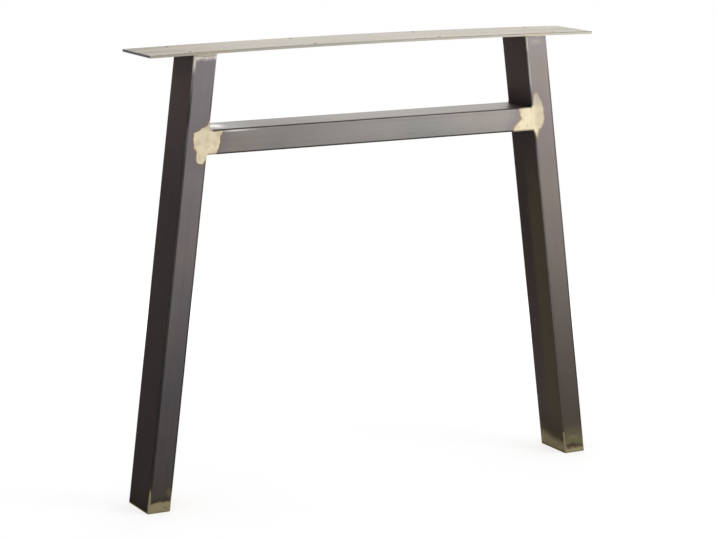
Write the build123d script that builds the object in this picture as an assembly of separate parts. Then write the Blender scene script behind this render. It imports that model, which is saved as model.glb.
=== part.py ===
# Welded steel table frame: two leaning rectangular tubes, a crossbar and a mounting plate.
# Frame: +X along the plate, +Y from front to back, +Z up.
# The origin is on the floor, midway between the feet.
from build123d import *
from math import cos, radians, sin, tan
import os

# Overall
frame_height = 711.0  # floor to the crown of the mounting plate
foot_spread = 795.0  # across the outer faces of the feet, at the floor
leg_lean = 7.15  # degrees from upright, each leg towards the other

# Rectangular tube, the same stock for the legs and the crossbar
tube_face = 38.1  # narrow side, seen from the front
tube_depth = 76.2  # wide side, front to back
tube_wall = 2.0
tube_inner_corner = 1.0  # radius of the corner inside the tube

# Crossbar
crossbar_top = 588.0  # height of its top face

# Mounting plate, a flat bar that the welding heat drew into a slight crown
plate_length = 774.0
plate_width = 108.0
plate_thickness = 4.0
plate_crown = 4.0  # drop from the middle of the plate to its ends
plate_edge_break = 0.5  # rubbed-off sharp edge round the top face

# Screw holes for the tabletop, in two rows
hole_diameter = 7.0
hole_edge_margin = 11.0  # hole centre to the plate's long edge
hole_leg_margin = 9.2  # outer hole centre to the leg's outer face, under the plate
inner_hole_spacing = 218.0

# Foot caps, welded on and ground flush with the tube
foot_cap_thickness = 3.0
foot_cap_edge = 0.8  # rounding of the cap's edge at the floor

# Weld metal
plate_weld = 4.0  # leg of the fillets in front of and behind each tube, under the plate
plate_weld_setback = 0.5  # how far those fillets stop short of the tube's wide sides
weld_root = 0.3  # how far a fillet's blank starts inside the tube that it is cut back to
groove_fill = 0.8  # share of the tube's round corner that the crossbar's ground welds fill
groove_overrun = 2.0  # how far those welds run on above and below the crossbar

# Worked out from the sizes above
tube_corner = tube_inner_corner + tube_wall
lean = radians(leg_lean)
face_at_level = tube_face / cos(lean)  # width of a leg's face, measured level
foot_centre = foot_spread / 2 - face_at_level / 2
crown_radius = (plate_length**2 / 4 + plate_crown**2) / (2 * plate_crown)
crown_centre = frame_height - crown_radius
leg_rise = frame_height / cos(lean)
overrun = tube_depth  # how far blanks run past the piece that trims them
trim_reach = plate_length + foot_spread  # wider than everything that is trimmed


def leg_centre(height):
    """How far a leg's centre line is from the middle, at a height."""
    return foot_centre - height * tan(lean)


def inner_face(height):
    """How far a leg's inner face is from the middle, at a height."""
    return leg_centre(height) - face_at_level / 2


def plate_underside(x):
    """Height of the plate's underside at a distance from the middle."""
    return crown_centre + ((crown_radius - plate_thickness) ** 2 - x**2) ** 0.5


def tube_outline():
    """The outside of the tube, face along local x and depth along local y."""
    return RectangleRounded(tube_face, tube_depth, tube_corner)


def tube_section():
    """The tube's wall, with the corner radius that goes with its thickness."""
    bore_face = tube_face - 2 * tube_wall
    bore_depth = tube_depth - 2 * tube_wall
    return tube_outline() - RectangleRounded(bore_face, bore_depth, tube_inner_corner)


def leg_plane():
    """A plane across the right leg where its centre line meets the floor, facing up the leg."""
    along = (-sin(lean), 0, cos(lean))
    across = (cos(lean), 0, sin(lean))
    return Plane(origin=(foot_centre, 0, 0), x_dir=across, z_dir=along)


def leg_blank(section):
    """A section run along the right leg's centre line, past the floor and past the plate."""
    start = leg_plane().offset(-overrun)
    return extrude(start * section, leg_rise + 2 * overrun)


def side_profile(outline):
    """An outline drawn from the front, as x and height, made as deep as the plate."""
    depth = plate_width + tube_depth
    return extrude(Plane.XZ * make_face(outline), depth / 2, both=True)


def crowned_arc(radius, half_width):
    """An arc about the crown's centre, from one side of the middle to the other."""
    drop = crown_centre + (radius**2 - half_width**2) ** 0.5
    middle = crown_centre + radius
    return ThreePointArc((-half_width, drop), (0, middle), (half_width, drop))


def space_under_plate(floor_level):
    """Everything between a level and the plate's crowned underside."""
    arc = crowned_arc(crown_radius - plate_thickness, trim_reach / 2)
    sides = Polyline(arc @ 1, (trim_reach / 2, floor_level), (-trim_reach / 2, floor_level), arc @ 0)
    return side_profile(arc + sides)


def make_leg():
    """The right leg: open tube from the foot cap to the plate, cut to the plate's crown."""
    return leg_blank(tube_section()) & space_under_plate(foot_cap_thickness)


def make_foot_cap():
    """The right foot's cap: a plate with the leaning tube's own outline, its floor edge rounded."""
    standing = (Align.CENTER, Align.CENTER, Align.MIN)
    slab = Box(trim_reach, 2 * tube_depth, foot_cap_thickness, align=standing)
    cap = leg_blank(tube_outline()) & slab
    floor_face = cap.faces().sort_by(Axis.Z)[0]
    return fillet(floor_face.edges(), min(foot_cap_edge, 0.4 * foot_cap_thickness))


def make_crossbar():
    """The crossbar: the same tube as the legs on its side, level, mitred to both legs' inner faces."""
    low = crossbar_top - tube_face
    start = Plane.YZ.offset(-trim_reach / 2)
    lying = Location((0, 0, crossbar_top - tube_face / 2)) * (start * Rot(0, 0, 90) * tube_section())
    between = Polyline(
        (-inner_face(low), low),
        (inner_face(low), low),
        (inner_face(crossbar_top), crossbar_top),
        (-inner_face(crossbar_top), crossbar_top),
        close=True,
    )
    return extrude(lying, trim_reach) & side_profile(between)


def hole_columns():
    """The four distances along the plate at which a pair of holes stands."""
    leg_outer_face = leg_centre(frame_height - plate_thickness) + face_at_level / 2
    outer = leg_outer_face + hole_leg_margin
    inner = inner_hole_spacing / 2
    return (-outer, -inner, inner, outer)


def hole_rows():
    """The front and back rows."""
    row = plate_width / 2 - hole_edge_margin
    return (-row, row)


def make_mounting_plate():
    """The crowned flat bar with its two rows of screw holes."""
    half_length = plate_length / 2
    top = crowned_arc(crown_radius, half_length)
    under = crowned_arc(crown_radius - plate_thickness, half_length)
    ends = [Line(top @ 0, under @ 0), Line(top @ 1, under @ 1)]
    bar = extrude(Plane.XZ * make_face(top + under + ends), plate_width / 2, both=True)
    top_face = bar.faces().sort_by(Axis.Z)[-1]
    bar = fillet(top_face.edges(), min(plate_edge_break, 0.4 * plate_thickness))
    for x in hole_columns():
        for y in hole_rows():
            bar -= Location((x, y, frame_height)) * Cylinder(hole_diameter / 2, 2 * overrun)
    return bar


def make_plate_weld():
    """The fillets at the front and the back of the right leg's top: wide at the plate, feathering out down
    the tube. They are laid across its narrow sides only, and leave its two wide sides bare."""
    level = plate_underside(leg_centre(frame_height))
    foot = level - plate_weld
    head = level + plate_weld
    toe_width = face_at_level - 2 * weld_root
    toe_depth = tube_depth - 2 * weld_root
    toe = RectangleRounded(toe_width, toe_depth, tube_corner - weld_root)
    flare = head - foot  # as far out as the blank is high, so the fillet stands at 45 degrees
    crown = RectangleRounded(face_at_level + 2 * flare, tube_depth + 2 * flare, tube_corner + flare)
    low = Location((leg_centre(foot), 0, foot)) * toe
    high = Location((leg_centre(head), 0, head)) * crown
    blank = loft([low, high], ruled=True)
    ring = (blank & space_under_plate(foot)) - leg_blank(tube_outline())
    narrow_sides = Rectangle(tube_face - 2 * plate_weld_setback, plate_width)
    return ring & leg_blank(narrow_sides)


def make_crossbar_weld():
    """The weld metal at the front and the back of the crossbar's right end. It fills the groove beside the
    leg's round corner and is ground flush."""
    low = crossbar_top - tube_face - groove_overrun
    high = crossbar_top + groove_overrun
    reach = groove_fill * tube_corner
    outline = Polyline(
        (inner_face(low), low),
        (inner_face(low) + reach, low),
        (inner_face(high) + reach, high),
        (inner_face(high), high),
        close=True,
    )
    blank = extrude(Plane.XZ * make_face(outline), tube_depth / 2, both=True)
    return blank - leg_blank(tube_outline())


def write(name, shape):
    """One STEP file for one named piece."""
    export_step(shape, f"parts/{name}.step")


def write_pair(name, shape):
    """The right-hand piece and its mirror image on the left."""
    write(f"{name}_right", shape)
    write(f"{name}_left", mirror(shape, about=Plane.YZ))


os.makedirs("parts", exist_ok=True)
write("mounting_plate", make_mounting_plate())
write("crossbar", make_crossbar())
write_pair("leg", make_leg())
write_pair("foot_cap", make_foot_cap())
write_pair("plate_weld", make_plate_weld())
write_pair("crossbar_weld", make_crossbar_weld())
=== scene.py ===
# %% [markdown]
# # A welded steel table frame
#
# Two leaning legs of rectangular steel tube, a crossbar of the same tube between them, and a flat mounting
# plate on top that a tabletop is screwed to. Nothing is painted: the steel is left as it came from the
# mill, and what makes it look real is where the maker's tools have touched it. The grinder has left pale
# patches where the crossbar is welded in and at the feet, and the heat has left coloured borders round
# them.
#
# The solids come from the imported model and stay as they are. This script gives them their finishes, and
# replaces the plain welds under the plate with rippled beads.

import math
import random

import bmesh
import bpy
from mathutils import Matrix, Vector


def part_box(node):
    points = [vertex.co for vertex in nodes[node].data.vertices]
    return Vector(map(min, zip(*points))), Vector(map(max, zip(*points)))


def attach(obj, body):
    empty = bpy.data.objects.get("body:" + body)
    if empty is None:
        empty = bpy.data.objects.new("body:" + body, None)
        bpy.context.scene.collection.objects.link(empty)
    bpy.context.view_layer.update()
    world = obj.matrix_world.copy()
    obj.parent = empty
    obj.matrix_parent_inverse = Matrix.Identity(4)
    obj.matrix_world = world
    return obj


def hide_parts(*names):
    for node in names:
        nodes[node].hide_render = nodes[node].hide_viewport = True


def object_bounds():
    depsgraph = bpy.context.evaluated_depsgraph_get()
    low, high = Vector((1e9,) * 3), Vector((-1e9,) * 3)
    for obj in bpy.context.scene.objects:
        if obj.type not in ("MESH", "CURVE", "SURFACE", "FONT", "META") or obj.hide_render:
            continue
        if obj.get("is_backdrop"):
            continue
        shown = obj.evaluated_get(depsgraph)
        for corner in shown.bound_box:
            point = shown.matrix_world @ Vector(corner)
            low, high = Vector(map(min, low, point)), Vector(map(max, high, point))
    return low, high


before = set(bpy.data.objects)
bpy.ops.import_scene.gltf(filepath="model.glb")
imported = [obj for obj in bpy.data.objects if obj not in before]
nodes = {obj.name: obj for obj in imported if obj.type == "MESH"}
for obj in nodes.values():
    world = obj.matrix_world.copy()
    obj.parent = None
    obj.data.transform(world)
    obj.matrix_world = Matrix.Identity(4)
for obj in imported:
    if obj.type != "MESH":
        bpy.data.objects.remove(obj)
solid_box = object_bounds()
print("nodes:", ", ".join(sorted(nodes)))

# %% [markdown]
# ## Measuring the frame
#
# The finishes need places: where a leg's centre line runs, how high the crossbar's top is. Typed in, they
# would be wrong as soon as the model changes, so they are worked out from the solids. Of the solids' own
# sizes, only the radius of the tube's corners and the screw holes are typed. The lean of a leg is found
# from the crossbar: its ends are mitred to the legs, so they draw in as they rise.

# %% Measure the frame
SIDES = {"left": -1, "right": 1}
TUBE_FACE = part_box("crossbar")[1].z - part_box("crossbar")[0].z
TUBE_HALF_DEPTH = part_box("leg_right")[1].y
TUBE_CORNER = 0.003  # the radius of its round corners
SAME_LEVEL = 0.00001  # points closer in height than this count as level
BAR_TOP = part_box("crossbar")[1].z
BAR_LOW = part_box("crossbar")[0].z
PLATE_LOW, PLATE_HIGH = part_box("mounting_plate")
LEG_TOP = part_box("leg_right")[1].z
FOOT_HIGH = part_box("foot_cap_right")[1]


def lean_of_leg():
    """The tangent of the leg's lean, from how far the crossbar's mitred ends draw in over its height."""
    ends = [v.co for v in nodes["crossbar"].data.vertices if v.co.x > 0]
    low = max(v.x for v in ends if v.z < BAR_LOW + SAME_LEVEL)
    high = max(v.x for v in ends if v.z > BAR_TOP - SAME_LEVEL)
    return (low - high) / TUBE_FACE


LEAN = lean_of_leg()
FACE_LEVEL = TUBE_FACE * math.sqrt(1 + LEAN**2)
FOOT_CENTRE = FOOT_HIGH.x - FACE_LEVEL / 2


def leg_centre(height):
    """How far a leg's centre line is from the middle, at a height."""
    return FOOT_CENTRE - height * LEAN


def inner_face(height):
    """How far a leg's inner face is from the middle, at a height."""
    return leg_centre(height) - FACE_LEVEL / 2


print(f"lean {math.degrees(math.atan(LEAN)):.2f} degrees, foot centre {FOOT_CENTRE * 1000:.1f} mm")

# %% [markdown]
# ## Camera
#
# A long lens, far back on the frame's left and a little above the plate. Its place was fitted to the edges
# in a photograph of the real frame, so the edges of the solids fall where the real ones do.

# %% Camera
CAMERA_PLACE = (-1.8166, -3.4342, 1.1129)
CAMERA_HEADING = math.radians(27.712)
CAMERA_DIP = math.radians(11.257)
CAMERA_LENS = 124.91
SENSOR_WIDTH = 36
LOOKED_AT = Vector((0, 0, 0.35))

camera_data = bpy.data.cameras.new("camera")
camera_data.lens = CAMERA_LENS
camera_data.sensor_width = SENSOR_WIDTH
camera = bpy.data.objects.new("camera", camera_data)
camera.location = CAMERA_PLACE
camera.rotation_euler = (math.pi / 2 - CAMERA_DIP, 0, -CAMERA_HEADING)
bpy.context.scene.collection.objects.link(camera)
bpy.context.scene.camera = camera
bpy.context.scene.view_settings.view_transform = "Standard"
print(f"camera {(camera.location - LOOKED_AT).length:.2f} m from the frame's middle")

# %% [markdown]
# ## Writing shader maths as expressions
#
# A finish is mostly arithmetic on masks: streaks times dirt, one minus a distance. Wired up node by node
# that is hard to read, so a small class holds one output socket and adds the Math node for each operator
# used on it. Any other node comes from its method node, and colours are mixed and shaded by two functions
# of their own, because a Math node would turn them grey.

# %% Shader expressions


class Sock:
    """One output socket. Arithmetic on it adds Math nodes to its tree."""

    def __init__(self, tree, socket):
        self.tree = tree
        self.socket = socket

    def node(self, kind, settings=None, outlet=0, **inputs):
        """Any other node: its type, its settings (set first) and its sockets by name or number."""
        made = self.tree.nodes.new(kind)
        for name, value in (settings or {}).items():
            setattr(made, name, value)
        for name, value in inputs.items():
            key = int(name[1:]) if name[0] == "i" and name[1:].isdigit() else name.replace("_", " ")
            self.feed(made.inputs[key], value)
        return Sock(self.tree, made.outputs[outlet])

    def feed(self, inlet, value):
        """Links a socket to an inlet, or sets a plain value on it."""
        if isinstance(value, Sock):
            self.tree.links.new(value.socket, inlet)
        else:
            inlet.default_value = value

    def maths(self, operation, *values):
        """A Math node on values or sockets."""
        sockets = {f"i{n}": value for n, value in enumerate(values)}
        return self.node("ShaderNodeMath", {"operation": operation}, **sockets)

    def __add__(self, other):
        return self.maths("ADD", self, other)

    def __radd__(self, other):
        return self.maths("ADD", other, self)

    def __sub__(self, other):
        return self.maths("SUBTRACT", self, other)

    def __rsub__(self, other):
        return self.maths("SUBTRACT", other, self)

    def __mul__(self, other):
        return self.maths("MULTIPLY", self, other)

    def __rmul__(self, other):
        return self.maths("MULTIPLY", other, self)

    def __neg__(self):
        return self.maths("MULTIPLY", self, -1.0)

    def __abs__(self):
        return self.maths("ABSOLUTE", self)

    def __pow__(self, other):
        return self.maths("POWER", self, other)

    def least(self, other):
        return self.maths("MINIMUM", self, other)

    def most(self, other):
        return self.maths("MAXIMUM", self, other)

    def ramp(self, low, high):
        """0 below low, 1 above high, and a smooth rise between. low may be above high, for a fall."""
        settings = {"interpolation_type": "SMOOTHSTEP"}
        return self.node("ShaderNodeMapRange", settings, Value=self, From_Min=low, From_Max=high)

    def within(self, centre, core, edge):
        """1 within core of a centre, falling to 0 at edge from it."""
        return abs(self - centre).ramp(edge, core)


def mixed(mask, first, second):
    """Colour first where the mask is 0 and second where it is 1."""
    made = mask.node("ShaderNodeMix", {"data_type": "RGBA"}, outlet=2, i0=mask)
    for inlet, colour in ((6, first), (7, second)):
        whole = colour if isinstance(colour, Sock) else (*colour, 1)
        mask.feed(made.socket.node.inputs[inlet], whole)
    return made


def shaded(colour, factor):
    """A colour made lighter or darker by a factor that varies over the surface."""
    return factor.node("ShaderNodeVectorMath", {"operation": "SCALE"}, Vector=colour, Scale=factor)


print("operators for sockets, and mixed and shaded for colours")

# %% [markdown]
# ## Drawing in the frame's coordinates
#
# Streaks, patches and tints could be painted on unwrapped faces, but here they are drawn from a point's
# place in the frame. Then they run on from piece to piece, and stay put when the model changes. Every
# finish starts the same way, so a class holds the new material, its Principled shader and the point's x, y
# and z.

# %% A material's starting point


class Finish:
    """A new material with one Principled shader, and the frame's coordinates to draw with."""

    def __init__(self, name, roughness, metallic=1.0):
        self.material = bpy.data.materials.new(name)
        self.material.use_nodes = True
        self.tree = self.material.node_tree
        self.shader = self.tree.nodes["Principled BSDF"]
        self.shader.inputs["Roughness"].default_value = roughness
        self.shader.inputs["Metallic"].default_value = metallic
        self.place = Sock(self.tree, self.tree.nodes.new("ShaderNodeTexCoord").outputs["Object"])
        parts = self.tree.nodes.new("ShaderNodeSeparateXYZ")
        self.tree.links.new(self.place.socket, parts.inputs[0])
        self.x, self.y, self.z = (Sock(self.tree, parts.outputs[n]) for n in range(3))

    def vector(self, x, y, z):
        """Three values or sockets as one place."""
        return self.x.node("ShaderNodeCombineXYZ", X=x, Y=y, Z=z)

    def noise(self, where, scale, detail=3.0, roughness=0.55):
        """Soft noise about a middle of 0.5. A stretched place gives streaks."""
        settings = {"Vector": where, "Scale": scale, "Detail": detail, "Roughness": roughness}
        return self.x.node("ShaderNodeTexNoise", **settings)

    def colour(self, value):
        self.x.feed(self.shader.inputs["Base Color"], value)

    def roughness(self, value):
        self.x.feed(self.shader.inputs["Roughness"], value)

    def metallic(self, value):
        self.x.feed(self.shader.inputs["Metallic"], value)

    def bump(self, height, distance, strength=1.0):
        made = self.x.node("ShaderNodeBump", Strength=strength, Distance=distance, Height=height)
        self.x.feed(self.shader.inputs["Normal"], made)


def dress(name, finish):
    """Gives a node or a new piece one material all over."""
    piece = nodes[name] if name in nodes else bpy.data.objects[name]
    piece.data.materials.clear()
    piece.data.materials.append(finish.material)


print("finishes start from a Principled shader with the frame's coordinates")

# %% [markdown]
# ## Studio
#
# The frame stands on a white floor, a plain matt sheet. Rays that come straight from the camera or off the
# metal see a glow mixed into it: a small share round the frame, just enough to bring the lit floor to white
# while its soft shadow stays, and all of it farther off. The world is white to the same rays, and gives
# only a soft fill to everything else.

# %% Floor and world
FLOOR_HALF = 9.0
FLOOR_TONE = 0.86
NEAR_SHARE = 0.2  # how much of the glow is mixed in round the frame
NEAR_GLOW = 3.1  # its strength there
NEAR_REACH = 0.8  # from here outwards the glow changes
FAR_REACH = 1.7  # and from here on it is plain white
FILL_LEVEL = 0.55


def seen_directly(tree):
    """1 for rays from the camera, off metal and through glass."""
    rays = tree.nodes.new("ShaderNodeLightPath")
    camera_ray, glossy, transmitted = (
        Sock(tree, rays.outputs[n]) for n in ("Is Camera Ray", "Is Glossy Ray", "Is Transmission Ray")
    )
    return camera_ray.most(glossy).most(transmitted)


def sheet(name, half_width, half_height, tone):
    """A flat matt card of the studio."""
    w, h = half_width, half_height
    mesh = bpy.data.meshes.new(name)
    mesh.from_pydata([(-w, -h, 0), (w, -h, 0), (w, h, 0), (-w, h, 0)], [], [(0, 1, 2, 3)])
    card = bpy.data.objects.new(name, mesh)
    bpy.context.scene.collection.objects.link(card)
    material = bpy.data.materials.new(name)
    material.use_nodes = True
    matt = material.node_tree.nodes["Principled BSDF"]
    matt.inputs["Base Color"].default_value = (tone, tone, tone, 1)
    matt.inputs["Specular IOR Level"].default_value = 0.0
    mesh.materials.append(material)
    card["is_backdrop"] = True
    return card


def make_floor():
    """A matt sheet that glows in the rays that see it directly."""
    floor = sheet("floor", FLOOR_HALF, FLOOR_HALF, FLOOR_TONE)
    tree = floor.active_material.node_tree
    matt = tree.nodes["Principled BSDF"]
    matt.inputs["Roughness"].default_value = 1.0
    place = Sock(tree, tree.nodes.new("ShaderNodeTexCoord").outputs["Object"])
    from_frame = place.node("ShaderNodeVectorMath", {"operation": "LENGTH"}, outlet=1, i0=place)
    far = from_frame.ramp(NEAR_REACH, FAR_REACH)
    near_glow = place.node("ShaderNodeEmission", Strength=NEAR_GLOW)
    far_glow = place.node("ShaderNodeEmission", Strength=1.0)
    glow = place.node("ShaderNodeMixShader", i0=far, i1=near_glow, i2=far_glow)
    share = seen_directly(tree) * (far * (1.0 - NEAR_SHARE) + NEAR_SHARE)
    blend = place.node("ShaderNodeMixShader", i0=share, i1=Sock(tree, matt.outputs[0]), i2=glow)
    tree.links.new(blend.socket, tree.nodes["Material Output"].inputs[0])


def make_world():
    """White where it is seen, and a soft fill as light."""
    world = bpy.data.worlds.new("studio")
    world.use_nodes = True
    bpy.context.scene.world = world
    tree = world.node_tree
    background = tree.nodes["Background"]
    background.inputs["Color"].default_value = (1, 1, 1, 1)
    strength = seen_directly(tree) * (1.0 - FILL_LEVEL) + FILL_LEVEL
    tree.links.new(strength.socket, background.inputs["Strength"])


make_floor()
make_world()
print("white floor and world")

# %% [markdown]
# ## Lamps and black flags
#
# Bare steel looks like whatever stands round it, so in a studio it is lit by large soft boxes and shaped
# with black flags: dark cards just out of the picture that the metal mirrors. One soft box in front to the
# right makes the fronts of the tubes brighten to the right. It is low, so that the plate's top doesn't
# mirror it to someone standing behind. Another behind the frame lights the top faces. A wide flag behind on
# the left darkens the sides of the legs that face left, a dark cloth on the floor darkens the legs towards
# the feet, and a flag overhead draws a dark line along the crossbar's round top edge. Only the metal's
# reflections see the flags.

# %% Lamps and flags


def aim(thing, place, target):
    """Puts a lamp or a card at a place, facing a target."""
    thing.location = place
    thing.rotation_euler = (Vector(target) - Vector(place)).to_track_quat("-Z", "Y").to_euler()


def softbox(name, place, target, width, height, power):
    """A rectangular area lamp that the camera doesn't see."""
    data = bpy.data.lights.new(name, "AREA")
    data.shape = "RECTANGLE"
    data.size = width
    data.size_y = height
    data.energy = power
    lamp = bpy.data.objects.new(name, data)
    aim(lamp, place, target)
    lamp.visible_camera = False
    bpy.context.scene.collection.objects.link(lamp)


def flag(name, place, target, width, height, tone):
    """A dark card that only the metal's reflections see."""
    card = sheet(name, width / 2, height / 2, tone)
    aim(card, place, target)
    card.visible_camera = False
    card.visible_diffuse = False
    card.visible_shadow = False
    card.visible_transmission = False


MIDDLE = (0, 0, 0.4)
softbox("key_softbox", (2.3, -2.6, 0.75), MIDDLE, 1.6, 1.0, 23)
softbox("back_softbox", (1.9, 3.0, 1.5), MIDDLE, 2.4, 1.6, 8)
flag("side_flag", (-1.3, 2.0, 0.7), (0, 0, 0.35), 4.2, 2.6, 0.15)
flag("overhead_flag", (-0.3, -0.8, 2.4), MIDDLE, 3.6, 3.0, 0.04)
flag("floor_flag", (-0.4, 0.5, 0.0006), (-0.4, 0.5, 1.0), 4.6, 4.6, 0.09)
print("two soft boxes and three flags")

# %% [markdown]
# ## Grinding patches
#
# Where the crossbar is welded in, the maker has run a flap disc over the joint until the weld is flush. The
# patches could be cut out of the mesh, but their edge is only a change of finish, so the shader draws them.
# Each patch is a few convex outlines laid over one another, because it is easy to work out in a shader how
# far a point lies outside a convex outline: it is the greatest of its distances beyond the outline's sides.
# Noise makes the edge ragged. Corners are in millimetres, outward from the leg's centre line and up from
# the top of the crossbar, and go round clockwise with outward to the right.

# %% Outlines of the ground patches
MM = 0.001
LEFT_PATCH = [
    [(-24, 9), (-17, 8), (-11, 5), (6, -4), (4, -27), (-2, -33), (-24, -33)],
    [(-20, -30), (-2, -30), (-2, -44), (-5, -49), (-13, -51), (-17, -44)],
    [(-36, -3), (-18, -3), (-18, -42), (-30, -42), (-34, -35), (-37, -25), (-38, -11)],
    [(-40, -3), (-30, -3), (-30, -12), (-36, -12), (-39, -8)],
    [(-20, -2), (-19, 14), (-17, 14), (-13, 4), (-13, -2)],
]
RIGHT_PATCH = [
    [(-18, 6), (-14, 20), (-9, 22), (-2, 8), (0, -3), (0, -19), (-3, -29), (-18, -29)],
    [(-24, 0), (-12, 4), (-12, -29), (-24, -29)],
    [(-24, -25), (-3, -27), (-6, -33), (-12, -37), (-24, -40)],
    [(-20, -33), (-11, -36), (-14, -44), (-16, -48), (-19, -42)],
    [(-43, -1), (-18, 1), (-18, -30), (-38, -24), (-42, -12)],
    [(-40, -22), (-18, -20), (-18, -42), (-52, -42), (-48, -32)],
    [(-42, -19), (-38, -20), (-40, -42), (-60, -42), (-60, -38), (-55, -30)],
]
print(len(LEFT_PATCH), "outlines on the left joint,", len(RIGHT_PATCH), "on the right")

# %% Distance from a patch


def beside_outline(point, corners):
    """How far outside one convex outline a point lies, in metres; negative inside it."""
    farthest = None
    for (ax, ay), (bx, by) in zip(corners, corners[1:] + corners[:1]):
        side = math.hypot(bx - ax, by - ay)
        away = ((ay - by) / side, (bx - ax) / side)
        level = (ax * away[0] + ay * away[1]) * MM
        dot = {"operation": "DOT_PRODUCT"}
        beyond = point.node("ShaderNodeVectorMath", dot, outlet=1, i0=point, i1=(*away, -level))
        farthest = beyond if farthest is None else farthest.most(beyond)
    return farthest


def beside_patch(finish, outward, above, outlines):
    """How far outside the nearest outline a point lies."""
    point = finish.vector(outward, above, 1.0)
    nearest = beside_outline(point, outlines[0])
    for corners in outlines[1:]:
        nearest = nearest.least(beside_outline(point, corners))
    return nearest


print("a point's distance from a patch is the least of its distances from the outlines")

# %% [markdown]
# ## Colours of the steel
#
# The tube comes with a thin grey-mauve mill skin. Over it go the places where it was worked: brown and
# violet heat tint, olive stains at the feet, and pale metal where the disc has been. On metal the base
# colour is the colour of its reflection, so these are chosen for what the steel mirrors, the white studio.

# %% Colours of the steel
SKIN = (0.235, 0.207, 0.204)
SKIN_COOL = (0.195, 0.180, 0.192)
SKIN_BROWN = (0.215, 0.178, 0.146)
SKIN_SIDE = (0.232, 0.176, 0.170)
BAR_SKIN = (0.240, 0.218, 0.207)
BAR_COOL = (0.204, 0.196, 0.189)
BAR_WARM = (0.275, 0.243, 0.215)

CORNER_RUB = (0.42, 0.37, 0.33)
# painted highlight: the colour of the glints on the near corner and on the crossbar's top
HIGHLIGHT_PAINT = (0.92, 0.89, 0.86)
BRUSHED = (0.56, 0.53, 0.455)
GROUND = (0.78, 0.69, 0.49)
GROUND_TAN = (0.62, 0.50, 0.32)
# ground metal under the plate, paler than GROUND: partly painted light against the plate's shade
TOP_GROUND_LIT = (1.0, 0.94, 0.80)

VIOLET = (0.185, 0.162, 0.178)
STAIN = (0.255, 0.175, 0.110)
BROWN = (0.15, 0.105, 0.070)
RUST = (0.31, 0.19, 0.105)
FOOT_GROUND = (0.50, 0.42, 0.245)
FOOT_OLIVE = (0.15, 0.130, 0.072)
OLIVE_PALE = (0.345, 0.305, 0.170)

METALLIC = 0.92
GROUND_METALLIC = 0.40
BEAD_METALLIC = 0.12
print("skin reflects about", SKIN[0], "of the light, ground metal", GROUND[0])

# %% [markdown]
# ## Mill skin
#
# The rolls leave fine streaks along the tube. They are noise in a place that is stretched: slow along the
# tube and fast across it. Wider bands and soft clouds lie over them. The corners are rubbed brighter in
# handling.

# %% Mill skin
STREAK_SCALE = (4.0, 420.0)  # along the tube and across it
BAND_SCALE = (1.2, 70.0)
BAND_DEPTH = 0.30
CLOUD_DEPTH = 0.20
SKIN_LEVEL = 0.76


def along_tube(finish, scale, along, across_a, across_b):
    """A place for noise that is stretched along a tube."""
    slow, fast = scale
    return finish.vector(along * slow, across_a * fast, across_b * fast)


def tube_skin(finish, along, across_a, across_b, tones=(SKIN, SKIN_COOL), streak_depth=0.44):
    """Mill skin with streaks along the tube. Returns its colour and the streak value."""
    streak_place = along_tube(finish, STREAK_SCALE, along, across_a, across_b)
    streaks = finish.noise(streak_place, 1.0, detail=4.0, roughness=0.6)
    bands = finish.noise(along_tube(finish, BAND_SCALE, along, across_a, across_b), 1.0, detail=2.0)
    clouds = finish.noise(finish.place, 9.0, detail=4.0)
    tints = finish.noise(finish.place, 5.0, detail=2.0)
    middle = SKIN_LEVEL - streak_depth / 2
    tone = middle + streaks * streak_depth + bands * BAND_DEPTH + clouds * CLOUD_DEPTH
    skin = mixed(tints.ramp(0.42, 0.62), *tones)
    skin = mixed(clouds.ramp(0.55, 0.75) * 0.6, skin, SKIN_BROWN)
    return shaded(skin, tone), streaks


def rubbed_corner(finish, in_from_a, in_from_b):
    """1 along the tube's round corners, broken up: the two distances are in from its faces."""
    ragged = finish.noise(finish.place, 40.0, detail=3.0)
    corner = in_from_a.most(in_from_b).ramp(TUBE_CORNER, TUBE_CORNER * 0.45)
    return corner * ragged.ramp(0.30, 0.62)


print("streaks are", STREAK_SCALE[1] / STREAK_SCALE[0], "times as long as they are wide")

# %% [markdown]
# ## Ground metal and heat tint
#
# A ground patch is pale and much less of a mirror, because the disc leaves scratches in every direction.
# Plain colour would look like a sticker, so it gets clouds, scratches and a tan tint. Round it the welding
# heat has left a narrow brown border and a wider violet one, which run out from the same distance.

# %% Ground metal and heat tint
EVEN_POLISH = 1.13
BAR_POLISH = 0.27  # how much brighter the right joint is on the crossbar's side
LEG_DULLING = 0.17  # and how much duller the rest of it


def ground_metal(finish, outward):
    """Pale metal with soft clouds and the disc's scratches. It is even on the left joint, and on the right
    one brightest on the crossbar's side."""
    scratches = finish.noise(finish.vector(finish.x * 260.0, finish.y * 260.0, finish.z * 900.0), 1.0, 2.0)
    clouds = finish.noise(finish.place, 75.0, detail=2.0)
    slow = finish.noise(finish.place, 38.0, detail=1.0)
    clean = mixed(clouds.ramp(0.46, 0.68) * 0.62, GROUND, GROUND_TAN)
    right_end = finish.x.ramp(-0.01, 0.01)
    polish = EVEN_POLISH + right_end * (outward.ramp(-0.004, -0.026) * BAR_POLISH - LEG_DULLING)
    return shaded(clean, polish * (0.70 + scratches * 0.22 + slow * 0.46))


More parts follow.
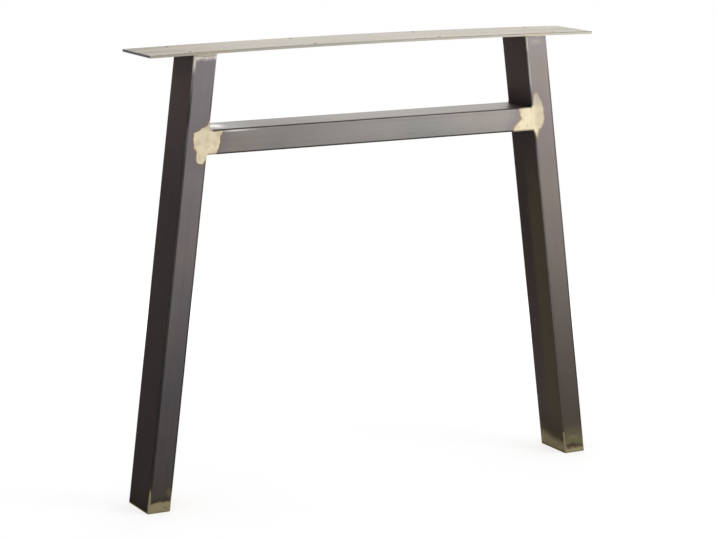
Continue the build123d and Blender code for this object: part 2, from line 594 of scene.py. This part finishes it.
def worked_joint(finish, skin, beside, on_face, softness):
    """Lays the joint's heat tint over the skin. Returns the colour, and how far the metal is ground: softness
    is half the width of that edge."""
    ragged = finish.noise(finish.place, 190.0, detail=3.0)
    slow = finish.noise(finish.place, 60.0, detail=1.0)
    wander = 1.0 - softness * 180.0
    edge = beside + ((ragged - 0.5) * 0.0040 + (slow - 0.5) * 0.005) * wander
    violet = edge.ramp(0.024, 0.003) * on_face.most(0.35)
    brown = edge.ramp(0.0070, 0.0006) * on_face * (slow.ramp(0.40, 0.60) * 0.45 + 0.55)
    ground = edge.ramp(softness, -softness) * on_face
    tinted = mixed(violet * 0.55, skin, VIOLET)
    tinted = mixed(brown * 0.80, tinted, STAIN)
    return tinted, ground


def steel_surface(finish, streaks, scoured, clean, height):
    """The surface of worked tube: less metallic where it is scoured, and rougher where it is clean."""
    finish.metallic(METALLIC - scoured * (METALLIC - GROUND_METALLIC))
    finish.roughness(0.34 + streaks * 0.16 + clean * 0.12)
    finish.bump(height, distance=0.00012, strength=0.5)


print("ground metal is", GROUND_METALLIC, "metallic, mill skin", METALLIC)

# %% [markdown]
# ## The two legs' marks
#
# Each leg has three worked places: the joint, the top under the plate, and the foot, where the cap was
# welded on and the whole end ground. The two legs were not worked alike. On the left the face is ground
# bright right across under the plate, and the foot has a clean band. On the right only the inner corner is
# bright at the top, and the foot has a lower band under a pale olive stain. So the legs share one finish,
# and a table for each says how strong its marks are. Blotches and smudges are soft spots: centre and half
# size in millimetres, outward and up from the floor, and strength. A smudge of negative strength is brown.

# %% Marks of the two legs
LEFT_MARKS = {
    "patch": LEFT_PATCH,
    "patch_softness": 0.0006,
    "top_band": 1.0,
    "top_strip": 0.0,
    "foot_band": 0.0165,
    "foot_softness": 0.0022,
    "foot_polish": 0.90,
    "corner_lift": (0.020, 0.014),
    "dark_edges": (0.74, 0.62),
    "olive": 0.30,
    "brown": 0.2,
    "blotches": [],
    "smudges": [((-13, 31), (8, 10), 0.50)],
    "stain": FOOT_OLIVE,
}
RIGHT_MARKS = {
    "patch": RIGHT_PATCH,
    "patch_softness": 0.0024,
    "top_band": 0.0,
    "top_strip": 1.0,
    "foot_band": 0.0080,
    "foot_softness": 0.0036,
    "foot_polish": 0.95,
    "corner_lift": (0.016, 0.030),
    "dark_edges": (0.60, 0.0),
    "olive": 0.95,
    "brown": 1.0,
    "blotches": [((-1, 694), (20, 9), 0.11)],
    "smudges": [((-1, 27), (14, 5), 0.55), ((-3, 14), (12, 8), -0.90)],
    "stain": OLIVE_PALE,
}
print(len(LEFT_MARKS), "marks for each leg")

# %% [markdown]
# ## Finding places on a leg
#
# On a leaning leg the marks have to follow the tube, not the upright. So the distance outward from the
# leg's centre line is worked out inside the shader from x and z. The masks for the narrow face, the inner
# side and the edge between them come from it, and every mark below is drawn with these few.

# %% Places on a leg
FACE_START = (0.0035, 0.0018)  # in from the front, where a corner turns into the face
EDGE_WIDTH = (0.0034, 0.0018)
NEAR_SIDE = (0.0150, 0.0168)  # inward from the centre line


class LegPlaces:
    """Where a point lies on one leg, as distances and masks. side is -1 on the left and 1 on the right."""

    def __init__(self, finish, side):
        self.outward = finish.x * float(side) - (FOOT_CENTRE - finish.z * LEAN)
        self.inward = -self.outward
        self.near_side = self.inward.ramp(*NEAR_SIDE)
        self.in_from_side = FACE_LEVEL / 2 - abs(self.outward)
        self.in_from_front = TUBE_HALF_DEPTH - abs(finish.y)
        self.on_face = self.in_from_front.ramp(*FACE_START)
        self.wide_side = 1.0 - self.on_face
        self.inner_side = self.wide_side * self.inward.ramp(0.0, 0.010)
        self.corner = rubbed_corner(finish, self.in_from_side, self.in_from_front)
        self.edge_line = self.in_from_side.most(self.in_from_front).ramp(*EDGE_WIDTH)
        self.above_bar = finish.z - BAR_TOP
        self.below_plate = LEG_TOP - finish.z


def spot(finish, outward, centre, half_size):
    """A soft oval spot on a leg, 1 in the middle."""
    across = (outward - centre[0] * MM) * (1 / (half_size[0] * MM))
    up = (finish.z - centre[1] * MM) * (1 / (half_size[1] * MM))
    broken = finish.noise(finish.place, 260.0, detail=3.0)
    return ((across * across + up * up) ** 0.5 + broken * 1.2).ramp(1.5, 0.5)


print("a leg's face is", round(FACE_LEVEL * 1000, 1), "mm wide, measured level")

# %% [markdown]
# ## Skin of a leg
#
# A long tube never has one tone. Low down it mirrors the dark floor cloth, so painted light lifts its skin on
# the inner side there, painted shade darkens the front, most towards the foot, and painted light makes the
# wide sides lighter towards the top. The wide sides are redder than the face. The right leg has browned, and
# its inner side shows rust streaks and an olive band. The front corners are darker than the faces beside
# them, except the near one on the right, which has a painted highlight down it.

# %% Skin of a leg


def leg_skin(finish, at, marks):
    """Mill skin with a leg's slow changes of tone: browning, and painted light and shade from foot to top.
    Returns its colour and the streak value.
    """
    skin, streaks = tube_skin(finish, finish.z, at.outward, finish.y)
    to_foot = finish.z.ramp(0.42, 0.02)
    to_top = finish.z.ramp(0.45, 0.69)
    skin = mixed((to_foot * 0.45 + 0.55) * marks["brown"], skin, SKIN_BROWN)
    skin = mixed(at.wide_side * (0.85 - to_foot * marks["brown"] * 0.45), skin, SKIN_SIDE)
    # painted shade on the front, most towards the foot, and painted light on the inner side low down
    front_shade = at.on_face * (to_foot * 0.16 + marks["brown"] * 0.06)
    skin = shaded(skin, 1.0 - front_shade + at.inner_side * (0.15 + to_foot * 0.95))
    # painted light: the wide sides lighter towards the top
    return shaded(skin, 1.0 + at.wide_side * to_top * 0.56), streaks


def aged_skin(finish, at, skin, marks):
    """Rust streaks on the inner side, and rubbed corners."""
    rust_place = finish.vector(finish.z * 3.0, at.outward * 90.0, finish.y * 150.0)
    rust = finish.noise(rust_place, 1.0).ramp(0.50, 0.66) * at.inner_side * finish.z.within(0.30, 0.05, 0.19)
    skin = mixed(rust * marks["brown"] * 0.40, skin, RUST)
    return mixed(at.corner * 0.20, skin, CORNER_RUB)


def leg_edges(finish, at, skin, marks):
    """Dark front corners, the olive band beside them, and a painted highlight down the near corner."""
    outer_dark, inner_dark = marks["dark_edges"]
    tube_edge = at.in_from_side.ramp(0.0048, 0.0020) * at.in_from_front.ramp(0.0034, 0.0026)
    tube_edge = tube_edge * finish.z.ramp(0.68, 0.62)
    darkness = at.near_side * inner_dark + (1.0 - at.near_side) * outer_dark
    skin = shaded(skin, 1.0 - tube_edge * darkness)
    olive = at.inner_side * finish.y.ramp(0.012, -0.006)
    olive = olive * finish.z.ramp(0.56, 0.40) * finish.z.ramp(-0.02, 0.10)
    skin = mixed(olive * marks["brown"] * 0.60, skin, FOOT_GROUND)
    # painted highlight down the near front corner, strongest above the bar
    by_height = at.above_bar.ramp(-0.05, 0.03) * 0.8 + 0.2
    corner_highlight = at.edge_line * at.near_side * by_height * marks["top_strip"]
    return mixed(corner_highlight * 0.85, skin, HIGHLIGHT_PAINT)


print("skin, rust and edges of a leg")

# %% [markdown]
# ## Joint, top and foot of a leg
#
# The joint takes its ground patch and heat tint, and above the bar the metal is brushed rather than ground.
# Painted shade darkens the inner corner above the bar. The top was ground before the plate was welded on, so
# it keeps a bright ragged band or strip, and the strips down its corners also carry a painted highlight. The
# foot is ground on its faces and its inner side, up to a ragged line that is higher at the corners, and above
# it the stain fades upwards. Painted light makes the foot's ground metal lighter on the inner side.

# %% Joint and top of a leg


def leg_joint(finish, at, skin, marks):
    """Painted shade in the inner corner above the bar, and the worked joint. Returns the colour and how far
    it is ground.
    """
    # painted shade: the inner side darker just above the bar
    corner_shade = at.inner_side * at.above_bar.ramp(-0.0002, 0.0002) * at.above_bar.ramp(0.034, 0.002)
    skin = shaded(skin, 1.0 - corner_shade * 0.55)
    under_bar = at.inner_side * (BAR_LOW - finish.z).within(0.0020, 0.0010, 0.0032)
    skin = mixed(under_bar * 0.5, skin, FOOT_GROUND)
    beside = beside_patch(finish, at.outward, at.above_bar, marks["patch"])
    colour, ground = worked_joint(finish, skin, beside, at.on_face, marks["patch_softness"])
    brushed = at.above_bar.ramp(-0.006, 0.014) * 0.75
    joint_metal = mixed(brushed, ground_metal(finish, at.outward), BRUSHED)
    return mixed(ground, colour, joint_metal), ground


def top_marks(finish, at, marks):
    """How far the metal under the plate is ground, with the strips down its corners also a painted highlight,
    and the tint below it.
    """
    ragged = finish.noise(finish.place, 150.0, detail=4.0)
    brush = finish.noise(finish.vector(at.outward * 700.0, finish.z * 60.0, 0.0), 1.0, detail=2.0)
    below = at.below_plate + (ragged - 0.5) * 0.008
    band = (below + brush * 0.007).ramp(0.0165, 0.0060) * at.on_face * marks["top_band"]
    # the strip down the near corner: ground metal with a painted highlight
    strip_end = (below - at.near_side * 0.017).ramp(0.0140, 0.0040)
    near_edge = at.inward.ramp(0.0158, 0.0178)
    strip = strip_end * near_edge * at.corner.most(at.on_face) * marks["top_strip"]
    # the strip down the outer corner: ground metal with a painted highlight
    outer_side = at.outward.ramp(0.0138, 0.0172) * at.on_face.most(at.corner)
    outer_strip = (below + brush * 0.012).ramp(0.044, 0.014) * outer_side * marks["top_band"]
    tint = below.ramp(0.065, 0.012) * at.on_face.most(0.3)
    return band.most(strip).most(outer_strip * 0.85), tint


def leg_top(finish, at, colour, marks):
    """The leg's top. Returns the colour and how far it is ground."""
    ground, tint = top_marks(finish, at, marks)
    colour = mixed(tint * 0.5, colour, SKIN_COOL)
    # a tan line in the ground band just under the plate, on the outer part of the face
    tan_line = at.below_plate.within(0.0052, 0.0006, 0.0030) * at.outward.ramp(0.006, -0.010) * marks["top_band"]
    top_metal = mixed(tan_line * 0.55, TOP_GROUND_LIT, GROUND_TAN)
    colour = mixed(ground * 0.92, colour, top_metal)
    for centre, half_size, strength in marks["blotches"]:
        colour = mixed(spot(finish, at.outward, centre, half_size) * strength, colour, GROUND)
    return colour, ground


print("joint and top of a leg")

# %% Foot of a leg and the whole finish


def leg_foot(finish, at, colour, streaks, ragged, marks):
    """The leg's foot. Returns the colour and how far it is ground."""
    side_rise = finish.y.ramp(-0.036, 0.036) * 0.008 + 0.020
    rise = at.on_face * marks["foot_band"] + at.inner_side * side_rise
    outer_lift, inner_lift = marks["corner_lift"]
    lifted = at.edge_line * (at.near_side * inner_lift + (1.0 - at.near_side) * outer_lift)
    above_band = finish.z - rise - lifted + (ragged - 0.5) * 0.009

    stained = (at.on_face * marks["olive"]).most(at.wide_side * 0.5)
    colour = mixed(above_band.ramp(0.048, 0.006) * stained, colour, marks["stain"])
    colour = mixed(above_band.ramp(0.0095, 0.0020) * 0.85, colour, BROWN)
    for centre, half_size, strength in marks["smudges"]:
        smudge = spot(finish, at.outward, centre, half_size) * at.on_face * abs(strength)
        colour = mixed(smudge, colour, FOOT_GROUND if strength > 0 else BROWN)

    soft = marks["foot_softness"]
    ground_face = above_band.ramp(soft, -soft) * at.on_face.most(at.edge_line)
    ground_side = above_band.ramp(0.0120, -0.0120) * at.inner_side * (0.45 + streaks * 0.8)
    ground = ground_face.most(ground_side).least(1.0)
    metal = mixed(ragged.ramp(0.5, 0.7) * 0.5, FOOT_GROUND, FOOT_OLIVE)
    # painted light: the ground metal lighter on the inner side
    metal = shaded(metal, (0.75 + ragged * 0.5 + at.inner_side * 0.30) * marks["foot_polish"])
    return mixed(ground, colour, metal), ground


def leg_finish(name, side, marks):
    """The finish of one leg, with its own marks."""
    finish = Finish(name, roughness=0.42, metallic=METALLIC)
    at = LegPlaces(finish, side)
    skin, streaks = leg_skin(finish, at, marks)
    skin = aged_skin(finish, at, skin, marks)
    skin = leg_edges(finish, at, skin, marks)
    colour, joint_ground = leg_joint(finish, at, skin, marks)
    colour, top_ground = leg_top(finish, at, colour, marks)
    ragged = finish.noise(finish.place, 110.0, detail=4.0)
    colour, foot_ground = leg_foot(finish, at, colour, streaks, ragged, marks)
    finish.colour(colour)
    scoured = joint_ground.most(foot_ground)
    clean = scoured.most(top_ground)
    steel_surface(finish, streaks, scoured, clean, streaks + clean * ragged)
    return finish


dress("leg_left", leg_finish("left_leg_steel", SIDES["left"], LEFT_MARKS))
dress("leg_right", leg_finish("right_leg_steel", SIDES["right"], RIGHT_MARKS))
print("both legs dressed")

# %% [markdown]
# ## Crossbar
#
# The crossbar is the same stock, so it takes the same skin with its streaks turned to run across the frame,
# and a worked joint at each end. The sign of x says which end a point is near. Painted light makes its skin
# lighter towards the right. Its top face is browner, with painted shade that is darkest by the right leg
# and a painted highlight at the left end, and a painted highlight line runs along the left end's front, just
# under the edge.

# %% Top of the crossbar
BRIGHT_X = 0.260  # how far left of the middle the painted highlight lies


def bar_top(finish, skin):
    """The brown tone, painted shade and painted highlights of the crossbar's top face, and the painted
    highlight line under its edge.
    """
    on_top = (BAR_TOP - finish.z).ramp(0.0008, 0.0002)
    skin = mixed(on_top * 0.8, skin, SKIN_BROWN)
    # painted shade: the top face darker at both ends, by the right leg and along its back edge
    left_half = finish.x.ramp(-0.02, -0.16)
    right_half = finish.x.ramp(0.05, 0.18)
    shade_by_leg = finish.x.ramp(0.252, 0.290)
    back_edge = finish.y.ramp(0.026, 0.034)
    top_shade = left_half * 0.33 + right_half * 0.09 + shade_by_leg * 0.48 + back_edge * 0.22
    skin = shaded(skin, 1.0 - on_top * top_shade)

    # painted highlight on the top face near the left end, and a fainter one over the whole left end
    glint_x = (finish.x + BRIGHT_X) * 1.4
    glint_ragged = finish.noise(finish.vector(finish.x * 70.0, finish.y * 160.0, 0.0), 1.0, detail=3.0)
    glint_spot = (glint_x * glint_x + finish.y * finish.y) ** 0.5 + (glint_ragged - 0.5) * 0.022
    near_left = finish.x.ramp(-0.190, -0.262)
    skin = mixed(on_top * glint_spot.ramp(0.028, 0.006), skin, HIGHLIGHT_PAINT)
    skin = mixed(on_top * near_left * 0.16, skin, HIGHLIGHT_PAINT)
    # painted highlight line along the left end's front, just under the edge
    under_edge = (BAR_TOP - finish.z - 0.0034).within(0.0, 0.0005, 0.0016)
    return mixed(under_edge * near_left * 0.8, skin, HIGHLIGHT_PAINT)


print("top of the crossbar")

# %% Crossbar finish
LEFT_SOFTNESS = 0.0005
RIGHT_SOFTNESS = 0.0028


def crossbar_finish():
    """Skin, top face and the two worked joints."""
    finish = Finish("crossbar_steel", roughness=0.42, metallic=METALLIC)
    bar_tones = (BAR_SKIN, BAR_COOL)
    skin, streaks = tube_skin(finish, finish.x, finish.y, finish.z, bar_tones, streak_depth=0.26)
    in_from_front = TUBE_HALF_DEPTH - abs(finish.y)
    in_from_top = (BAR_TOP - finish.z).least(finish.z - BAR_LOW)
    corner = rubbed_corner(finish, in_from_front, in_from_top)
    skin = mixed(corner * 0.5, skin, CORNER_RUB)
    # painted light: the skin lighter towards the right
    skin = shaded(skin, 1.03 + finish.x.ramp(-0.25, 0.30) * 0.15)
    skin = mixed(finish.x.ramp(0.10, 0.22) * 0.45, skin, BAR_WARM)
    skin = bar_top(finish, skin)

    outward = abs(finish.x) - (FOOT_CENTRE - finish.z * LEAN)
    above = finish.z - BAR_TOP
    right_end = finish.x.ramp(-0.01, 0.01)
    left = beside_patch(finish, outward, above, LEFT_PATCH)
    right = beside_patch(finish, outward, above, RIGHT_PATCH)
    beside = left * (1.0 - right_end) + right * right_end
    softness = LEFT_SOFTNESS + right_end * (RIGHT_SOFTNESS - LEFT_SOFTNESS)
    on_face = in_from_front.ramp(*FACE_START)
    colour, ground = worked_joint(finish, skin, beside, on_face, softness)
    finish.colour(mixed(ground, colour, ground_metal(finish, outward)))
    steel_surface(finish, streaks, ground, ground, streaks)
    return finish


dress("crossbar", crossbar_finish())
print("crossbar dressed")

# %% [markdown]
# ## Weld metal and foot caps
#
# The crossbar's welds are ground flush, so they take the same pale metal as the patch round them. The foot
# caps take the olive metal of the ground feet. Each is a thin line in the picture, so a plain cloudy finish
# with pits or scratches is enough.

# %% Ground weld and caps
CAP_DULL = (0.40, 0.33, 0.20)


def ground_weld_finish():
    """Ground metal with the small pits of a weld."""
    finish = Finish("ground_weld_metal", roughness=0.45, metallic=GROUND_METALLIC)
    outward = abs(finish.x) - (FOOT_CENTRE - finish.z * LEAN)
    finish.colour(ground_metal(finish, outward))
    pits = finish.noise(finish.place, 600.0, detail=2.0)
    finish.roughness(0.38 + pits * 0.15)
    finish.bump(pits, distance=0.0001, strength=0.5)
    return finish


def foot_cap_finish():
    """Olive metal, scratched level by the disc."""
    finish = Finish("ground_cap_metal", roughness=0.48, metallic=METALLIC)
    ragged = finish.noise(finish.place, 110.0, detail=4.0)
    scratches = finish.noise(finish.vector(finish.x * 60.0, finish.y * 900.0, finish.z * 900.0), 1.0, 3.0)
    colour = mixed(ragged.ramp(0.45, 0.7) * 0.6, FOOT_GROUND, CAP_DULL)
    finish.colour(shaded(colour, 0.72 + scratches * 0.45))
    finish.roughness(0.40 + scratches * 0.15)
    finish.bump(scratches, distance=0.0001, strength=0.6)
    return finish


weld_metal = ground_weld_finish()
cap_metal = foot_cap_finish()
for side in SIDES:
    dress(f"crossbar_weld_{side}", weld_metal)
    dress(f"foot_cap_{side}", cap_metal)
print("ground welds and foot caps dressed")

# %% [markdown]
# ## Mounting plate
#
# A pale flat bar, brushed lengthwise, with faint tan and green clouds where it has started to take the air.
# Its sawn end faces mirror the dark flags, so they look darker than the top; their paler colour is painted
# light that lifts them.
# The welds under it have tinted its top face above each leg, in rings that follow the tube's outline. Round
# each screw hole is the bright ring that the drill's burr leaves when it is taken off.

# %% Steel of the plate
PLATE_PALE = (0.424, 0.392, 0.334)
PLATE_TAN = (0.422, 0.374, 0.292)
PLATE_GREEN = (0.35, 0.345, 0.275)
PLATE_LEFT_END = (0.268, 0.242, 0.166)
PLATE_RIGHT_END = (0.34, 0.335, 0.255)
PLATE_SAND = (0.48, 0.405, 0.318)
FRONT_EDGE = (0.345, 0.330, 0.295)
SAWN_END_LIGHT = (0.78, 0.74, 0.84)


def plate_steel(finish, streaks):
    """The brushed top, the front edge and the sawn ends, whose paler colour is painted light."""
    bands = finish.noise(finish.vector(finish.x * 2.0, finish.y * 90.0, 0.0), 1.0, detail=2.0)
    broad = finish.noise(finish.vector(finish.x * 3.5, finish.y * 42.0, 7.0), 1.0, detail=2.0)
    clouds = finish.noise(finish.place, 7.0, detail=3.0)
    patches = finish.noise(finish.vector(finish.x, finish.y, 4.0), 13.0, detail=2.0)
    colour = mixed(clouds.ramp(0.42, 0.62) * 0.8, PLATE_PALE, PLATE_TAN)
    colour = mixed(patches.ramp(0.52, 0.70) * 0.3, colour, PLATE_GREEN)
    colour = mixed(finish.x.ramp(-0.20, -0.37) * 0.8, colour, PLATE_LEFT_END)
    colour = mixed(finish.x.ramp(0.16, 0.36) * 0.4, colour, PLATE_RIGHT_END)
    colour = mixed(broad.ramp(0.47, 0.60) * 0.55, colour, PLATE_SAND)
    colour = shaded(colour, 0.38 + streaks * 0.42 + bands * 0.40 + broad * 0.44)

    end_face = (PLATE_HIGH.x - abs(finish.x)).ramp(0.0006, 0.0002)
    front_face = (PLATE_HIGH.y - abs(finish.y)).ramp(0.0006, 0.0002)
    colour = mixed(front_face * 0.65, colour, FRONT_EDGE)
    # painted light: the sawn ends painted paler, against the dark flags they mirror
    return mixed(end_face * 0.85, colour, SAWN_END_LIGHT)


print("plate steel")

# %% Heat rings, screw holes and the whole plate
RING_STRAW = (0.50, 0.36, 0.21)
RING_VIOLET = (0.34, 0.28, 0.36)
BURR_RING = (0.74, 0.71, 0.65)
HOLE_SHADE = (0.16, 0.14, 0.12)
HOLE_ROW = 0.043
HOLE_INNER = 0.109
HOLE_OUTER = 0.318
HOLE_RADIUS = 0.0035


def heat_rings(finish, colour):
    """Straw and violet rings over each leg's outline."""
    outward = abs(finish.x) - leg_centre(LEG_TOP)
    as_wide = abs(finish.y) * (FACE_LEVEL / 2 / TUBE_HALF_DEPTH)
    beyond = abs(outward).most(as_wide) - FACE_LEVEL / 2
    ragged = finish.noise(finish.place, 60.0, detail=3.0)
    ring = abs(beyond + (ragged - 0.5) * 0.014)
    colour = mixed(ring.ramp(0.016, 0.002) * 0.38, colour, RING_STRAW)
    return mixed(ring.ramp(0.008, 0.001) * 0.30, colour, RING_VIOLET)


def screw_holes(finish, colour):
    """A bright ring round each hole, and painted shade in its wall."""
    along = abs(finish.x)
    from_column = abs(along - HOLE_INNER).least(abs(along - HOLE_OUTER))
    from_row = abs(finish.y) - HOLE_ROW
    from_hole = (from_column * from_column + from_row * from_row) ** 0.5
    burr = from_hole.within(HOLE_RADIUS + 0.0007, 0.0003, 0.0009)
    colour = mixed(burr * 0.8, colour, BURR_RING)
    # painted shade: the hole's wall painted dark
    return mixed(from_hole.ramp(HOLE_RADIUS + 0.0003, HOLE_RADIUS), colour, HOLE_SHADE)


def plate_finish():
    """The mounting plate's finish."""
    finish = Finish("plate_steel", roughness=0.46, metallic=METALLIC)
    streak_place = finish.vector(finish.x * 5.0, finish.y * 520.0, finish.z * 520.0)
    streaks = finish.noise(streak_place, 1.0, detail=4.0, roughness=0.65)
    colour = plate_steel(finish, streaks)
    colour = heat_rings(finish, colour)
    finish.colour(screw_holes(finish, colour))
    finish.roughness(0.36 + streaks * 0.18)
    finish.bump(streaks, distance=0.0001, strength=0.5)
    return finish


dress("mounting_plate", plate_finish())
print("mounting plate dressed")

# %% [markdown]
# ## Plate welds
#
# The fillets under the plate were never ground, so they keep the overlapping ripples of the weld pool. The
# solid model has them as plain chamfers, and a bump map would leave their outline straight, so here each
# becomes a swept bead. Its section is a bulging quarter round between tube and plate, and the ripples are
# crescents: the middle of each lies a little farther along the bead than its two ends. The bead starts and
# ends on the tube's corners and thins out there. The front one on the left is heavier. A bead has to follow
# the plate's underside, which is taken as a parabola through its heights at the legs' inner faces and at
# the plate's ends.

# %% Path of a bead
BEAD_STEP = 0.00025
CORNER_TURN = math.radians(30)  # how far a bead runs on round the tube's corners
LEG_TOP_INNER = inner_face(LEG_TOP)
CROWN_FALL = (LEG_TOP - PLATE_LOW.z) / (PLATE_HIGH.x**2 - LEG_TOP_INNER**2)
CROWN_MIDDLE = LEG_TOP + CROWN_FALL * LEG_TOP_INNER**2


def plate_underside(x):
    """Height of the crowned plate's underside."""
    return CROWN_MIDDLE - CROWN_FALL * x * x


WELD_LEG = plate_underside(leg_centre(LEG_TOP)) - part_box("plate_weld_right")[0].z


def tube_path():
    """Points along the front of a tube and round its two corners, each with its outward direction. The points
    are across from the tube's centre line, and in from its front face."""
    half, turn, ahead = FACE_LEVEL / 2 - TUBE_CORNER, CORNER_TURN, math.radians(270)
    corner_steps = round(TUBE_CORNER * turn / BEAD_STEP)
    straight_steps = round(2 * half / BEAD_STEP)
    turns = [(-half, ahead - turn * (1 - n / corner_steps)) for n in range(corner_steps)]
    turns += [(-half + 2 * half * n / straight_steps, ahead) for n in range(straight_steps + 1)]
    turns += [(half, ahead + turn * n / corner_steps) for n in range(1, corner_steps + 1)]
    path = []
    for across, angle in turns:
        out = Vector((math.cos(angle), math.sin(angle)))
        path.append((Vector((across, TUBE_CORNER)) + out * TUBE_CORNER, out))
    return path


print(f"weld leg {WELD_LEG * 1000:.1f} mm, {len(tube_path())} points along a bead")

# %% Section of a bead
RIPPLE_PITCH = 0.0019
RIPPLE_DEPTH = 0.14
CRESCENT = 0.006  # a quarter of it is how far a ripple's ends lie behind its middle
END_LENGTH = 0.004  # over which a bead thins out
END_SIZE = 0.30  # the share of its size left at its ends
VALLEY_SIZE = 0.90  # the share left between two ripples
BEAD_FACETS = 12
BURIED = 0.0004


def bead_ring(at, out, travelled, total, side, face, leg):
    """One section of a bead: a quarter round from the plate to the tube, closed behind, inside the metal."""
    ends = min(1.0, travelled / END_LENGTH, (total - travelled) / END_LENGTH)
    size = leg * (END_SIZE + (1.0 - END_SIZE) * math.sqrt(max(ends, 0.0)))
    x = side * leg_centre(LEG_TOP) + at.x
    top = plate_underside(x)
    ring = []
    for n in range(BEAD_FACETS + 1):
        share = n / BEAD_FACETS
        held_back = (share - 0.5) ** 2 * CRESCENT
        ripple = abs(math.sin(math.pi * (travelled + held_back) / RIPPLE_PITCH))
        reach = size * (VALLEY_SIZE + RIPPLE_DEPTH * ripple * math.sin(math.pi * share))
        outwards = reach * math.cos(share * math.pi / 2)
        down = reach * math.sin(share * math.pi / 2)
        along = x + out.x * outwards + side * down * LEAN
        ring.append(Vector((along, face * (TUBE_HALF_DEPTH - at.y - out.y * outwards), top - down)))
    behind = face * (TUBE_HALF_DEPTH - at.y + out.y * BURIED)
    ring.append(Vector((x - out.x * BURIED, behind, top + BURIED)))
    return ring


print("a bead's section has", BEAD_FACETS + 2, "corners")

# %% Sweeping a bead


def add_bead(bm, side, face, leg, seed):
    """One bead along the front (face -1) or the back (face 1) of a leg's top."""
    rng = random.Random(seed)
    waves = [(rng.uniform(60, 420), rng.uniform(0, 6.28), rng.uniform(0.01, 0.035)) for n in range(4)]
    path = tube_path()
    total = sum((b[0] - a[0]).length for a, b in zip(path, path[1:]))
    travelled = 0.0
    rings = []
    for n, (at, out) in enumerate(path):
        if n:
            travelled += (at - path[n - 1][0]).length
        waver = sum(depth * math.sin(rate * travelled + phase) for rate, phase, depth in waves)
        corners = bead_ring(at, out, travelled, total, side, face, leg * (1 + waver))
        rings.append([bm.verts.new(c) for c in corners])
    for a, b in zip(rings, rings[1:]):
        for k in range(len(a)):
            m = (k + 1) % len(a)
            bm.faces.new((a[k], a[m], b[m], b[k]))
    bm.faces.new(rings[0][::-1])
    bm.faces.new(rings[-1])


print("a bead is a row of sections joined by faces, closed at both ends")

# %% Finish of the beads
BEAD_TAN = (0.50, 0.37, 0.20)


def bead_finish():
    """Pale weld metal with tan clouds. Its paleness is partly painted light against the plate's shade."""
    finish = Finish("weld_bead_metal", roughness=0.36, metallic=BEAD_METALLIC)
    clouds = finish.noise(finish.place, 120.0, detail=3.0)
    fine = finish.noise(finish.place, 900.0, detail=2.0)
    colour = mixed(clouds.ramp(0.50, 0.75) * 0.5, TOP_GROUND_LIT, BEAD_TAN)
    finish.colour(shaded(colour, 0.82 + fine * 0.3))
    finish.roughness(0.28 + clouds * 0.2)
    finish.bump(fine, distance=0.0001, strength=0.4)
    return finish


bead_metal = bead_finish()
print("bead metal ready")

# %% The four beads
HEAVY = 1.6  # the front bead on the left, against the others
FRONT, BACK = -1, 1

for number, (side_name, side) in enumerate(SIDES.items()):
    bm = bmesh.new()
    front_leg = WELD_LEG * (HEAVY if side_name == "left" else 1.0)
    add_bead(bm, side, FRONT, front_leg, seed=11 + number)
    add_bead(bm, side, BACK, WELD_LEG, seed=31 + number)
    bmesh.ops.recalc_face_normals(bm, faces=bm.faces)
    mesh = bpy.data.meshes.new(f"plate_bead_{side_name}")
    bm.to_mesh(mesh)
    bm.free()
    mesh.shade_smooth()
    bead = bpy.data.objects.new(f"plate_bead_{side_name}", mesh)
    bpy.context.scene.collection.objects.link(bead)
    bead.data.materials.append(bead_metal.material)
    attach(bead, "root")
    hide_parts(f"plate_weld_{side_name}")
    print(bead.name, len(mesh.polygons), "faces")

# %% [markdown]
# ## Close
#
# The dressed frame must be the size of the solids, so both boxes' sizes are printed.

# %% Sizes and finish
dressed_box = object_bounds()
boxes = {"solids": solid_box, "dressed": dressed_box}
plain = {name: [[float(c) for c in corner] for corner in box] for name, box in boxes.items()}
for name, (low, high) in plain.items():
    print(name, [round((b - a) * 1000, 1) for a, b in zip(low, high)], "mm")
